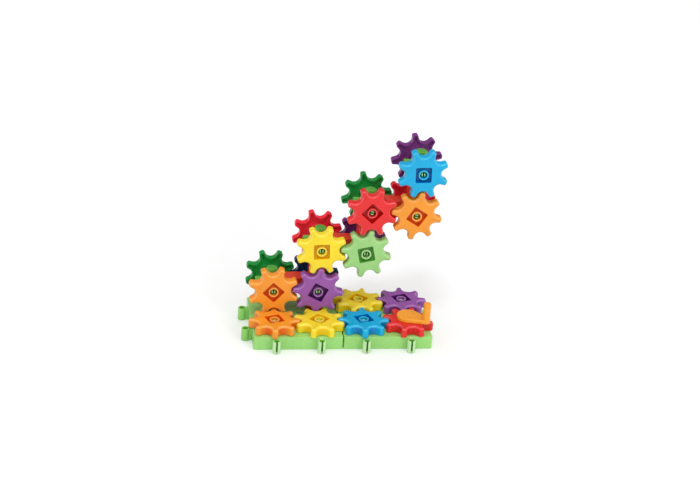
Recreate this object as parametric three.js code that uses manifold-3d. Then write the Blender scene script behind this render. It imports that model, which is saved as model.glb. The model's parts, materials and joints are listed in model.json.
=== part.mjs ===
// A building toy of plastic gears with a hand crank: two square base plates stand side by
// side, six gears lie flat on them, and a staircase of square pillars and six-way axles
// carries seven upright gears in front and seven behind. Turning the crank turns the red
// gear, the flat gears, and through two right-angle meshes every upright gear in front.
// Axes: X to the right, Y to the back, Z up. All sizes are in millimetres.

import * as THREE from 'three';
import { mergeVertices } from 'three/addons/utils/BufferGeometryUtils.js';
import Module from 'manifold-3d';

const wasm = await Module();
wasm.setup();

// Grid and fits
const PITCH = 50;              // centre distance of meshing gears, posts and axles
const FIT_GAP = 0.3;           // gap kept between pieces that touch
const RUN_GAP = 0.25;          // gap under a flat gear, over the plate
const OVERRUN = 1;             // how far a cut runs past the face that it opens
const MERGE_GAP = 0.0001;      // points closer than this are one

// Gears
const TEETH = 8;
const ADDENDUM = 3.75;         // tooth height outside the pitch circle
const DEDENDUM = 4.9;          // tooth depth inside the pitch circle
const GEAR_THICKNESS = 10.5;
const GEAR_SEAT = 18.25;       // from the axle's centre to the gear's inner face
const BACKLASH = 3;            // play between two teeth, along the pitch circle
const TIP_ROUND = 2.5;         // radius of a tooth's outer corners
const FLANK_LEAN = 7.5;        // degrees that a tooth's flank leans
const EDGE_DEPTH = 2.5;        // bevel round the outer face, along the axle
const EDGE_INSET = 1.7;        // the same bevel, across the face
const GEAR_WALL = 2;
const RECESS_WALL = 1.6;
const RECESS_PLAY = 0.45;      // each side, round a square plug
const RECESS_DEPTH = 6.5;
const HUB_RING_DIAMETER = 12;
const HUB_RING_HEIGHT = 2.5;   // over the recess's floor

// Six-way axles, the posts on them and on the plates
const CUBE = 18;
const COLLAR_DIAMETER = 13;
const COLLAR_GAP = 0.55;       // from the collar's end to the gear's inner face
const PEG_END = 19.5;          // of a pillar's peg, from the axle's centre
const POST_DIAMETER = 7.4;
const POST_PLAY = 0.35;        // round a post, inside a gear's hub
const BARB_OUT = 0.7;          // how far the snap barb stands out of the post
const BARB_LENGTH = 1.2;
const BARB_GAP = 0.5;          // under the barb, over the shoulder in a gear's hub
const SLOT_WIDTH = 2;

// Square pillars
const PILLAR_SIDE = 17.7;
const PILLAR_PLAY = 0.6;       // round a collar, inside a pillar

// Base plates
const PLATE_HEIGHT = 15;
const PLATE_GAP = 1.6;         // between two plates side by side
const PLATE_CORNER = 3;        // radius of the upright corners
const PLATE_SKIN = 2.2;
const PLATE_WALL = 2.2;
const WELL_WALL = 1.8;
const KNOB_DIAMETER = 9.5;
const KNOB_BORE = 4.6;
const KNOB_REACH = 11.5;       // how far a knob stands out past the middle of the gap
const KNOB_HEIGHT = 14.5;
const KNOB_NECK = 4.6;
const KNOB_SLIT = 1.6;
const SOCKET_PLAY = 0.4;
const SOCKET_WALL = 1.8;

// Crank
const CRANK_HUB_RADIUS = 12.9;
const CRANK_REACH = 21.8;      // from the gear's centre to the handle's centre
const CRANK_THICKNESS = 4.4;
const HANDLE_DIAMETER = 9.6;
const HANDLE_HEIGHT = 19.8;      // over the arm
const HANDLE_TAPER = 0.4;      // radius lost from the arm to the top
const PLUG_PLAY = 0.4;         // round the hub ring, inside the plug
const CRANK_TURN = -33;        // degrees from the X axis, seen from above

// The slack joints of the pillars let the tower lean to the right (degrees)
const TEETH_TURN = 360 / TEETH;
const LEAN_LOW = 0;
const LEAN_MIDDLE = 3.2;
const LEAN_HIGH = 4.2;

// Places that follow from the sizes above
const toRadians = THREE.MathUtils.degToRad;
const GEAR_FACE = GEAR_SEAT + GEAR_THICKNESS;
const HALF_CUBE = CUBE / 2;
const COLLAR_END = GEAR_SEAT - COLLAR_GAP;
const POST_END = PITCH / 2 - FIT_GAP;
const PITCH_RADIUS = PITCH / 2;
const TIP_RADIUS = PITCH_RADIUS + ADDENDUM;
const ROOT_RADIUS = PITCH_RADIUS - DEDENDUM;
const TOOTH_WIDTH = Math.PI * PITCH_RADIUS / TEETH - BACKLASH;
const RECESS_SIDE = CUBE + 2 * RECESS_PLAY;
const RECESS_FLOOR = GEAR_FACE - RECESS_DEPTH;
const HUB_SHOULDER = POST_END - BARB_LENGTH - BARB_GAP;
const BASE_NODE = PLATE_HEIGHT + RUN_GAP - GEAR_SEAT;
const WELL_FLOOR = BASE_NODE + HALF_CUBE;
const INSIDE_WALL = -(PLATE_GAP + PLATE_WALL) / 2;   // in a plate's edge wall, from the gap
const PILLAR_LENGTH = PITCH - CUBE - 2 * FIT_GAP;
const PILLAR_BORE = COLLAR_DIAMETER + 2 * PILLAR_PLAY;
const ROUND_SIDES = 8;
const POST_SIDES = 6;

// Turns a closed geometry into a solid for joining and cutting
function solidOf(geometry) {
  const plain = geometry.clone();
  plain.deleteAttribute('normal');
  plain.deleteAttribute('uv');
  const merged = mergeVertices(plain, MERGE_GAP);
  return new wasm.Manifold(new wasm.Mesh({
    numProp: 3,
    vertProperties: new Float32Array(merged.attributes.position.array),
    triVerts: new Uint32Array(merged.index.array),
  }));
}

// Turns a solid back into a geometry
function geometryOf(solid) {
  const mesh = solid.getMesh();
  const geometry = new THREE.BufferGeometry();
  const places = new Float32Array(mesh.numVert * 3);
  for (let i = 0; i < mesh.numVert; i += 1) {
    for (let axis = 0; axis < 3; axis += 1) {
      places[3 * i + axis] = mesh.vertProperties[mesh.numProp * i + axis];
    }
  }
  geometry.setAttribute('position', new THREE.BufferAttribute(places, 3));
  geometry.setIndex(new THREE.BufferAttribute(new Uint32Array(mesh.triVerts), 1));
  geometry.computeVertexNormals();
  return geometry;
}

const joined = (solids) => solids.reduce((all, one) => all.add(one));
const cut = (solid, cutters) => cutters.reduce((left, one) => left.subtract(one), solid);

// A polygon whose flats lie at the given radius from its centre
function polygon(sides, flatRadius, x = 0, y = 0) {
  const corner = flatRadius / Math.cos(Math.PI / sides);
  return Array.from({ length: sides }, (_, i) => {
    const angle = 2 * Math.PI * (i + 0.5) / sides;
    return new THREE.Vector2(x + corner * Math.cos(angle), y + corner * Math.sin(angle));
  });
}

const rectangle = (x0, x1, y0, y1) => [
  new THREE.Vector2(x0, y0), new THREE.Vector2(x1, y0),
  new THREE.Vector2(x1, y1), new THREE.Vector2(x0, y1),
];

const square = (side, x = 0, y = 0) => rectangle(
  x - side / 2, x + side / 2, y - side / 2, y + side / 2);

// The same square with rounded corners
function roundedSquare(side, radius) {
  const middle = side / 2 - radius;
  const corners = [[1, 1], [-1, 1], [-1, -1], [1, -1]];
  return corners.flatMap(([x, y], quarter) => [0, 30, 60, 90].map((degrees) => {
    const angle = toRadians(degrees + 90 * quarter);
    return new THREE.Vector2(
      x * middle + radius * Math.cos(angle), y * middle + radius * Math.sin(angle));
  }));
}

// A straight prism of an outline, between two heights
function prism(outline, low, high) {
  const shape = new THREE.Shape(outline);
  const geometry = new THREE.ExtrudeGeometry(shape, { depth: high - low, bevelEnabled: false });
  geometry.translate(0, 0, low);
  return geometry;
}

const prismSolid = (outline, low, high) => solidOf(prism(outline, low, high));

// The outline of the teeth, from points in one tooth's own frame (across, outward)
function toothedOutline(toothPoints) {
  const outline = [];
  for (let tooth = 0; tooth < TEETH; tooth += 1) {
    const turn = toRadians(TEETH_TURN * tooth);
    for (const [across, outward] of toothPoints) {
      outline.push(new THREE.Vector2(outward, -across).rotateAround(new THREE.Vector2(), turn));
    }
  }
  return outline;
}

// Half a tooth and half a valley, mirrored: round corners at the tip, a leaning flank and a
// round valley that touches the flanks on both its sides
function toothPoints() {
  const lean = toRadians(FLANK_LEAN);
  const halfStep = toRadians(TEETH_TURN / 2);
  const onCircle = (centre, radius, angle) => new THREE.Vector2(
    radius * Math.cos(angle), radius * Math.sin(angle)).add(centre);
  const corner = new THREE.Vector2(TOOTH_WIDTH / 2 - TIP_ROUND, TIP_RADIUS - TIP_ROUND);
  const outwards = new THREE.Vector2(Math.cos(lean), Math.sin(lean));
  const gap = new THREE.Vector2(Math.sin(halfStep), Math.cos(halfStep));
  const flankAt = corner.dot(outwards) + TIP_ROUND;
  const meet = gap.dot(outwards);
  const valleyRound = (ROOT_RADIUS * meet - flankAt) / (1 - meet);
  const valley = gap.clone().multiplyScalar(ROOT_RADIUS + valleyRound);
  const bottom = Math.PI + Math.PI / 2 - halfStep;
  const top = Math.PI + lean;
  const valleyArc = [bottom, (bottom + top) / 2, top].map(
    (angle) => onCircle(valley, valleyRound, angle));
  const tipArc = [lean, (lean + Math.PI / 2) / 2, Math.PI / 2].map(
    (angle) => onCircle(corner, TIP_ROUND, angle));
  const half = [...valleyArc, ...tipArc];
  const mirrored = half.slice(1).reverse().map((point) => new THREE.Vector2(-point.x, point.y));
  return { points: [...half, ...mirrored].map((point) => point.toArray()), foot: valleyArc[2] };
}

// Turns a square so that its corners point between the teeth
const cornersInGaps = (points) => points.map((point) => point.rotateAround(
  new THREE.Vector2(), toRadians(TEETH_TURN / 2)));

// One gear in the frame of its axle: Z runs out along the post, zero is the axle's centre
function gearGeometry() {
  const { points: tooth, foot } = toothPoints();
  const blank = new THREE.ExtrudeGeometry(new THREE.Shape(toothedOutline(tooth)), {
    depth: GEAR_THICKNESS - EDGE_DEPTH,
    bevelThickness: EDGE_DEPTH,
    bevelSize: EDGE_INSET,
    bevelOffset: -EDGE_INSET,
    bevelSegments: 1,
  });
  blank.translate(0, 0, GEAR_SEAT);
  const innerTrim = prismSolid(square(4 * TIP_RADIUS), GEAR_SEAT - EDGE_DEPTH - OVERRUN, GEAR_SEAT);

  const cavityTip = TOOTH_WIDTH / 2 - GEAR_WALL;
  const cavityTop = TIP_RADIUS - GEAR_WALL;
  const cavityRoot = ROOT_RADIUS - GEAR_WALL;
  const halfStep = toRadians(TEETH_TURN / 2);
  const cavity = toothedOutline([
    [cavityRoot * Math.sin(halfStep), cavityRoot * Math.cos(halfStep)],
    [foot.x - GEAR_WALL, foot.y - GEAR_WALL / 2], [cavityTip, cavityTop],
    [-cavityTip, cavityTop], [GEAR_WALL - foot.x, foot.y - GEAR_WALL / 2],
  ]);
  const recess = cornersInGaps(square(RECESS_SIDE));
  const recessCup = cornersInGaps(square(RECESS_SIDE + 2 * RECESS_WALL));
  const boreFlat = POST_DIAMETER / 2 + POST_PLAY;

  const shell = solidOf(blank)
    .subtract(innerTrim)
    .subtract(prismSolid(cavity, GEAR_SEAT - OVERRUN, GEAR_FACE - GEAR_WALL));
  const cup = prismSolid(recessCup, GEAR_SEAT, GEAR_FACE - EDGE_DEPTH / 2);
  const ring = prismSolid(
    polygon(ROUND_SIDES, HUB_RING_DIAMETER / 2), GEAR_SEAT, RECESS_FLOOR + HUB_RING_HEIGHT);
  const solid = cut(shell.add(cup), [prismSolid(recess, RECESS_FLOOR, GEAR_FACE + OVERRUN)])
    .add(ring)
    .subtract(prismSolid(polygon(ROUND_SIDES, boreFlat), GEAR_SEAT - OVERRUN, GEAR_FACE))
    .subtract(prismSolid(polygon(ROUND_SIDES, boreFlat + BARB_OUT), HUB_SHOULDER, GEAR_FACE));
  return geometryOf(solid);
}

// One half of a split post with its snap barb, Z along the post
function postHalf(side) {
  const half = (radius) => {
    const corners = [0, 1, 2, 3].map((i) => {
      const angle = Math.PI * i * 2 / POST_SIDES;
      return new THREE.Vector2(radius * Math.cos(angle), radius * Math.sin(angle) * side);
    });
    corners[0].y = side * SLOT_WIDTH / 2;
    corners[3].y = corners[0].y;
    return side > 0 ? corners : corners.reverse();
  };
  const radius = POST_DIAMETER / 2;
  const shaft = prismSolid(half(radius), COLLAR_END - OVERRUN, POST_END);
  const barb = prismSolid(half(radius + BARB_OUT), POST_END - BARB_LENGTH, POST_END);
  return shaft.add(barb);
}

// A round peg that takes a pillar, from a square face to the given height
const pegSolid = (from, end) => prismSolid(polygon(ROUND_SIDES, COLLAR_DIAMETER / 2), from, end);

// A round collar with a split post on it that takes a gear, from a square face
const postSolid = (from) => joined([pegSolid(from, COLLAR_END), postHalf(1), postHalf(-1)]);

// The six-way axle: a cube with a post for a gear in front and behind, and a peg for a
// pillar on each other face
function axleGeometry() {
  const post = postSolid(HALF_CUBE - OVERRUN);
  const peg = pegSolid(HALF_CUBE - OVERRUN, PEG_END);
  const body = prismSolid(square(CUBE), -HALF_CUBE, HALF_CUBE);
  const posts = [[90, 90, 0], [-90, 90, 0]].map((turn) => post.rotate(turn));
  const pegs = [[0, 0, 0], [180, 0, 0], [0, 90, 0], [0, -90, 0]].map((turn) => peg.rotate(turn));
  return geometryOf(joined([body, ...posts, ...pegs]));
}

// A square pillar in the middle of its length, Z along it
function pillarGeometry() {
  const half = PILLAR_LENGTH / 2;
  const tube = prismSolid(square(PILLAR_SIDE), -half, half);
  const bore = prismSolid(square(PILLAR_BORE), -half - OVERRUN, half + OVERRUN);
  return geometryOf(tube.subtract(bore));
}

// The split, hollow knob that links plates, standing out along X; x = 0 is the middle of
// the gap between two plates
function knobSolid() {
  const radius = KNOB_DIAMETER / 2;
  const middle = KNOB_REACH - radius;
  const drum = prismSolid(polygon(ROUND_SIDES, radius, middle), 0, KNOB_HEIGHT);
  const neck = prismSolid(
    rectangle(INSIDE_WALL, middle, -KNOB_NECK / 2, KNOB_NECK / 2), 0, KNOB_HEIGHT);
  const slit = prismSolid(
    rectangle(middle, KNOB_REACH + OVERRUN, -KNOB_SLIT / 2, KNOB_SLIT / 2),
    -OVERRUN, KNOB_HEIGHT + OVERRUN);
  const bore = prismSolid(
    polygon(ROUND_SIDES, KNOB_BORE / 2, middle), -OVERRUN, KNOB_HEIGHT + OVERRUN);
  return cut(drum.add(neck), [slit, bore]);
}

// The keyhole that takes such a knob, and the wall round it, seen from the same gap
function socketOutline(grow) {
  const radius = KNOB_DIAMETER / 2 + SOCKET_PLAY + grow;
  const neckHalf = KNOB_NECK / 2 + SOCKET_PLAY + grow;
  const middle = KNOB_REACH - KNOB_DIAMETER / 2;
  return { round: polygon(ROUND_SIDES, radius, -middle), neckHalf, middle };
}

function socketSolids() {
  const hole = socketOutline(0);
  const wall = socketOutline(SOCKET_WALL);
  const neck = (part, end) => rectangle(-part.middle, end, -part.neckHalf, part.neckHalf);
  const low = -OVERRUN;
  const high = PLATE_HEIGHT + OVERRUN;
  return {
    hole: prismSolid(hole.round, low, high).add(prismSolid(neck(hole, OVERRUN), low, high)),
    wall: prismSolid(wall.round, 0, PLATE_HEIGHT).add(
      prismSolid(neck(wall, INSIDE_WALL), 0, PLATE_HEIGHT)),
  };
}

// One base plate, centred on its own middle: knobs to the left and the front, sockets to
// the right and the back, so that plates join edge to edge
function plateGeometry() {
  const side = 2 * PITCH - PLATE_GAP;
  const wellSide = RECESS_SIDE;
  const posts = [-1, 1].flatMap((x) => [-1, 1].map((y) => [x * PITCH / 2, y * PITCH / 2]));
  const atPost = (solid) => posts.map(([x, y]) => solid.translate([x, y, 0]));
  const placed = (solid, turn) => [-1, 1].map((end) => solid
    .translate([PITCH, end * PITCH / 2, 0]).rotate([0, 0, turn]));
  const knob = knobSolid();
  const socket = socketSolids();

  const shell = prismSolid(roundedSquare(side, PLATE_CORNER), 0, PLATE_HEIGHT).subtract(
    prismSolid(square(side - 2 * PLATE_WALL), -OVERRUN, PLATE_HEIGHT - PLATE_SKIN));
  const cups = atPost(prismSolid(
    square(wellSide + 2 * WELL_WALL), WELL_FLOOR - WELL_WALL, PLATE_HEIGHT));
  const wells = atPost(prismSolid(square(wellSide), WELL_FLOOR, PLATE_HEIGHT + OVERRUN));
  const studs = atPost(postSolid(HALF_CUBE - WELL_WALL / 2).translate([0, 0, BASE_NODE]));
  const walls = [...placed(socket.wall, 0), ...placed(socket.wall, 90)];
  const holes = [...placed(socket.hole, 0), ...placed(socket.hole, 90)];
  const knobs = [...placed(knob, 180), ...placed(knob, -90)];
  const body = cut(joined([shell, ...cups, ...walls]), [...wells, ...holes]);
  return geometryOf(joined([body, ...studs, ...knobs]));
}

// The crank in the frame of its gear: a square plug, a tapering arm that points armTurn
// degrees away from a tooth, and a round handle
function crankGeometry(armTurn) {
  const low = GEAR_FACE + FIT_GAP;
  const high = low + CRANK_THICKNESS;
  const handleRadius = HANDLE_DIAMETER / 2;
  const arc = (x, radius, from, to, count) => Array.from({ length: count }, (_, i) => {
    const angle = toRadians(from + (to - from) * i / (count - 1));
    return new THREE.Vector2(x + radius * Math.cos(angle), radius * Math.sin(angle));
  });
  const flank = THREE.MathUtils.radToDeg(
    Math.acos((CRANK_HUB_RADIUS - handleRadius) / CRANK_REACH));
  const arm = prismSolid([
    ...arc(0, CRANK_HUB_RADIUS, flank, 360 - flank, 13),
    ...arc(CRANK_REACH, handleRadius, -flank, flank, 7),
  ], low, high);
  const ringHole = polygon(ROUND_SIDES, HUB_RING_DIAMETER / 2 + PLUG_PLAY);
  const plug = prismSolid(cornersInGaps(square(CUBE)), RECESS_FLOOR + FIT_GAP, low + OVERRUN)
    .subtract(prismSolid(ringHole, RECESS_FLOOR, low));
  const grip = new THREE.LatheGeometry([
    new THREE.Vector2(0, high - OVERRUN),
    new THREE.Vector2(handleRadius, high - OVERRUN),
    new THREE.Vector2(handleRadius - HANDLE_TAPER, high + HANDLE_HEIGHT - HANDLE_TAPER),
    new THREE.Vector2(handleRadius - 3 * HANDLE_TAPER, high + HANDLE_HEIGHT),
    new THREE.Vector2(0, high + HANDLE_HEIGHT),
  ], 12);
  grip.rotateX(toRadians(90));
  grip.translate(CRANK_REACH, 0, 0);
  return geometryOf(arm.add(solidOf(grip)).rotate([0, 0, armTurn]).add(plug));
}

// Colours of the moulded plastic
const COLOURS = {
  orange: '#f79a2b', yellow: '#fde02a', purple: '#9b58aa', light_green: '#a6dc86',
  red: '#ec3540', blue: '#14b2ec', dark_green: '#12802f', navy: '#1c3f6e',
  dark_red: '#c4202c', dark_purple: '#5c2160', plate_green: '#97da77',
  axle_green: '#5fbf4a', pillar_red: '#e2432c', crank_orange: '#f89a32',
};

const plastic = (colour, roughness = 0.32) => new THREE.MeshStandardMaterial({
  color: COLOURS[colour], roughness, metalness: 0,
});

const toy = new THREE.Group();
const model = new THREE.Group();
toy.add(model);

function addPiece(parent, name, geometry, colour) {
  const mesh = new THREE.Mesh(geometry, plastic(colour));
  mesh.name = name;
  parent.add(mesh);
  return mesh;
}

const column = (number) => (number - 2.5) * PITCH;
const FRONT_ROW = -PITCH / 2;
const BACK_ROW = PITCH / 2;

// Base plates
const plate = plateGeometry();
addPiece(model, 'left_base_plate', plate, 'plate_green').position.x = -PITCH;
addPiece(model, 'right_base_plate', plate, 'plate_green').position.x = PITCH;

// Axles, each with its lean, how it is reached from the one before it, and its quarter turns
// about its front post, which the square pillars allow
const AXLES = [
  { name: 'c1_l1', lean: LEAN_LOW },
  { name: 'c2_l1', lean: LEAN_LOW, step: 'across' },
  { name: 'c2_l2', lean: LEAN_MIDDLE, step: 'up' },
  { name: 'c3_l2', lean: LEAN_HIGH, step: 'across' },
  { name: 'c3_l3', lean: LEAN_HIGH, step: 'up', quarter: 1 },
  { name: 'c4_l3', lean: LEAN_HIGH, step: 'across' },
  { name: 'c4_l4', lean: LEAN_HIGH, step: 'up' },
];
const axle = axleGeometry();
const pillar = pillarGeometry();
let place = new THREE.Vector3(column(1), BACK_ROW, BASE_NODE + PITCH);

// A pillar halfway along a step that leans, between two axles
function addPillar(name, middle, step, lean) {
  const mesh = addPiece(model, name, pillar, 'pillar_red');
  mesh.position.copy(middle);
  mesh.rotation.y = toRadians(step === 'up' ? lean : lean + 90);
}

AXLES.forEach((row, index) => {
  if (index > 0) {
    row.linkLean = (AXLES[index - 1].lean + row.lean) / 2;
    const along = toRadians(row.linkLean);
    const step = row.step === 'up'
      ? new THREE.Vector3(Math.sin(along), 0, Math.cos(along))
      : new THREE.Vector3(Math.cos(along), 0, -Math.sin(along));
    const middle = place.clone().addScaledVector(step, PITCH / 2);
    const kind = row.step === 'up' ? 'upright' : 'cross';
    addPillar(`${kind}_pillar_${AXLES[index - 1].name}_to_${row.name}`, middle, row.step,
      row.linkLean);
    place = place.clone().addScaledVector(step, PITCH);
  }
  row.place = place;
  const mesh = addPiece(model, `six_way_axle_${row.name}`, axle, 'axle_green');
  mesh.position.copy(place);
  mesh.rotation.y = toRadians(row.lean + 90 * (row.quarter ?? 0));
});

// Two pillars carry the tower on the back posts of the left plate
for (const number of [1, 2]) {
  const middle = new THREE.Vector3(column(number), BACK_ROW, BASE_NODE + PITCH / 2);
  addPillar(`base_pillar_c${number}`, middle, 'up', 0);
}

// Flat gears on the plates' posts; turn puts a tooth or a gap on the grid lines, and the
// whole train stands a little further on than that
const gear = gearGeometry();
const ON_TOOTH = 0;
const ON_GAP = TEETH_TURN / 2;
const PLAY_TURN = 1.5;         // degrees of play that a mesh has taken up
const TRAIN_TURN = 3;          // degrees that the flat gears have turned on
const RED_TURN = ON_GAP + TRAIN_TURN + PLAY_TURN;
const FLAT_GEARS = [
  ['flat_gear_orange', 1, FRONT_ROW, 'orange', ON_TOOTH - TRAIN_TURN],
  ['flat_gear_yellow', 2, FRONT_ROW, 'yellow', ON_GAP + TRAIN_TURN],
  ['flat_gear_blue', 3, FRONT_ROW, 'blue', ON_TOOTH - TRAIN_TURN],
  ['flat_gear_red', 4, FRONT_ROW, 'red', RED_TURN],
  ['flat_gear_yellow_back', 3, BACK_ROW, 'yellow', ON_GAP + TRAIN_TURN + PLAY_TURN],
  ['flat_gear_purple_back', 4, BACK_ROW, 'purple', ON_TOOTH - TRAIN_TURN],
];
for (const [name, number, row, colour, turn] of FLAT_GEARS) {
  const mesh = addPiece(model, name, gear, colour);
  mesh.position.set(column(number), row, BASE_NODE);
  mesh.rotation.z = toRadians(turn);
}

// The crank's plug sits in the red gear's recess
const crank = addPiece(model, 'hand_crank', crankGeometry(CRANK_TURN - RED_TURN), 'crank_orange');
crank.position.set(column(4), FRONT_ROW, BASE_NODE);
crank.rotation.z = toRadians(RED_TURN);

// Upright gears. Each meshes with the one before it, so its teeth turn by twice the link's
// lean less the turn of the one before, and half a tooth more; slack is the play taken up
// between the two, and flip turns the square recess by one tooth.
const FRONT_GEARS = [
  { name: 'front_gear_orange', colour: 'orange', flip: 0, slack: -TRAIN_TURN },
  { name: 'front_gear_purple', colour: 'purple', flip: 1, slack: PLAY_TURN },
  { name: 'front_gear_yellow', colour: 'yellow', flip: 1, slack: -PLAY_TURN },
  { name: 'front_gear_light_green', colour: 'light_green', flip: 0, slack: 0 },
  { name: 'front_gear_red', colour: 'red', flip: 0, slack: 0 },
  { name: 'front_gear_orange_upper', colour: 'orange', flip: 1, slack: 0 },
  { name: 'front_gear_blue', colour: 'blue', flip: 1, slack: 0 },
];
const BACK_GEARS = [
  { name: 'back_gear_green', colour: 'dark_green', flip: 0, slack: 1 },
  { name: 'back_gear_navy', colour: 'navy', flip: 0, slack: -2 },
  { name: 'back_gear_dark_red', colour: 'dark_red', flip: 0, slack: 0 },
  { name: 'back_gear_dark_purple', colour: 'dark_purple', flip: 1, slack: -2 },
  { name: 'back_gear_green_upper', colour: 'dark_green', flip: 0, slack: 2 },
  { name: 'back_gear_red_upper', colour: 'dark_red', flip: 0, slack: -2 },
  { name: 'back_gear_purple_top', colour: 'dark_purple', flip: 0, slack: 2 },
];

function addUprightGears(rows, facing) {
  let turn = 0;
  rows.forEach((row, index) => {
    const onGap = index % 2 === 0 ? ON_GAP : ON_TOOTH;
    const lean = index > 0 ? 2 * AXLES[index].linkLean : 0;
    turn = lean - turn + row.slack;
    const mesh = addPiece(new THREE.Group(), row.name, gear, row.colour);
    mesh.rotation.z = toRadians(facing * (onGap - turn) + TEETH_TURN * row.flip);
    const turned = new THREE.Group();
    turned.rotation.x = toRadians(90 * facing);
    turned.position.copy(AXLES[index].place);
    turned.add(mesh);
    model.add(turned);
  });
}

addUprightGears(FRONT_GEARS, 1);
addUprightGears(BACK_GEARS, -1);

// The origin is the middle of the underside of the whole toy's box
const box = new THREE.Box3().setFromObject(model, true);
const centre = box.getCenter(new THREE.Vector3());
model.position.set(-centre.x, -centre.y, -box.min.z);
toy.updateMatrixWorld(true);

export default toy;
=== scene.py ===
"""A building toy of moulded plastic gears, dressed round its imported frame.

Two green base plates carry six flat gears and a leaning staircase of six-way axles and
square pillars, with seven upright gears in front and seven behind, and a hand crank.
Lengths are in metres, X runs to the right, Y to the back and Z up.
"""

import json
import math

import bmesh
import bpy
from mathutils import Color, Matrix, Vector


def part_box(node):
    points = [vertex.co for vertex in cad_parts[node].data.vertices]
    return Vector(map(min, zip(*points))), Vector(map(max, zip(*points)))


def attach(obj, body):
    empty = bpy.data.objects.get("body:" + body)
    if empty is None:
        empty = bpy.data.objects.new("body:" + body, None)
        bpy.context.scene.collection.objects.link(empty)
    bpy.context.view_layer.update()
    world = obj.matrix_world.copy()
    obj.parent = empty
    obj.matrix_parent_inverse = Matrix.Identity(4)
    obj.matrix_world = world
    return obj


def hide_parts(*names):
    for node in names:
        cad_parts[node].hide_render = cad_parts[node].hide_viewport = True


bl_info = {
    "name": "Gear Toy",
    "version": (1, 0, 0),
    "blender": (4, 5, 0),
    "location": "3D View > Sidebar > Gear Toy",
    "description": "Builds a plastic gear building toy with a hand crank",
    "category": "Add Mesh",
}

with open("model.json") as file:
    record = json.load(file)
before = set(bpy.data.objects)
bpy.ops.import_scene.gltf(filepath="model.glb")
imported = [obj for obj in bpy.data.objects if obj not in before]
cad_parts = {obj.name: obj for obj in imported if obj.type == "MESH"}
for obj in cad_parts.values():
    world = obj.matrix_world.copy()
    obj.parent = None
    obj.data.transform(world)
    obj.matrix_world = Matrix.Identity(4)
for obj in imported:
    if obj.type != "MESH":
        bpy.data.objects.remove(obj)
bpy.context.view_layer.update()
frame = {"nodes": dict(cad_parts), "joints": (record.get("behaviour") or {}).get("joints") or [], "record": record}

MM = 0.001


# Settings


def length(name, millimetres, text, least=0.0):
    """A length setting, given in millimetres."""
    return bpy.props.FloatProperty(
        name=name, description=text, default=millimetres * MM, min=least * MM, precision=5,
        unit="LENGTH"
    )


def angle(name, degrees, text):
    """An angle setting, given in degrees."""
    return bpy.props.FloatProperty(
        name=name, description=text, default=math.radians(degrees), subtype="ANGLE"
    )


def tint(name, red, green, blue, text):
    """A colour setting, given as it shows on a screen, from 0 to 255."""
    return bpy.props.FloatVectorProperty(
        name=name, description=text, default=(red / 255, green / 255, blue / 255),
        min=0.0, max=1.0, size=3, subtype="COLOR_GAMMA"
    )


def fraction(name, value, text, least=0.0):
    """A setting from nothing, or from the least, to all."""
    return bpy.props.FloatProperty(name=name, description=text, default=value, min=least, max=1.0)


def tone(name, value, text):
    """A tone of painted light: from -1, a painted highlight, to 1, painted shade."""
    return fraction(name, value, text, -1.0)


def number(name, value, text):
    """A setting of one or more."""
    return bpy.props.FloatProperty(name=name, description=text, default=value, min=1.0)


class GearSizes(bpy.types.PropertyGroup):
    """Sizes of one gear, with heights measured along the axis from its axle's middle."""

    teeth: bpy.props.IntProperty(name="Teeth", description="Teeth of each gear", default=8, min=6)
    tip_radius: length("Tip radius", 28.7, "From the axis to the tip of a tooth")
    root_radius: length("Root radius", 20.1, "From the axis to the bottom of a valley")
    tooth_width: length("Tooth width", 6.75, "Width of a tooth at its tip")
    tooth_round: length("Tooth rounding", 2.5, "Radius of a tooth's outer corners")
    flank_lean: angle("Flank lean", 7.5, "Lean of a tooth's flank from its middle line")
    seat: length("Seat", 18.3, "Height of the gear's open back")
    face: length("Face", 28.73, "Height of the gear's face")
    edge_depth: length("Edge depth", 2.5, "Height of the softened edge round the face")
    edge_inset: length("Edge inset", 1.7, "Width of the softened edge round the face")
    wall: length("Wall", 2.0, "Thickness of the toothed wall and of the recess's floor")
    recess_half: length("Recess half side", 8.8, "Half the side of the square recess")
    recess_round: length("Recess corner", 1.3, "Radius of the recess's corners")
    recess_floor: length("Recess floor", 22.2, "Height of the recess's floor")
    boss_wall: length("Boss wall", 1.6, "From the recess's side to the outside of its boss")
    hollow: length("Hollow", 3.0, "Depth of the hollow behind the teeth")
    ring_top: length("Ring top", 28.5, "Height of the hub ring's top")
    ring_radius: length("Ring radius", 5.6, "Outer radius of the hub ring")
    ring_bore: length("Ring bore", 4.1, "Radius of the hole in the hub ring")
    bore_radius: length("Bore radius", 3.6, "Radius of the hole that the post fills")
    bore_step: length("Bore step", 22.6, "Height of the step in the bore")
    # The tones paint light: a painted highlight on the hub ring and round the face, and painted shade in the flat
    # gears' valleys
    ring_tone: tone("Ring tone", -0.3, "How pale the thin hub ring looks")
    edge_tone: tone("Edge tone", -0.35, "How pale the edge round the face looks")
    valley_tone: tone("Valley tone", 1.0, "How deep a flat gear's valleys look")


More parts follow.
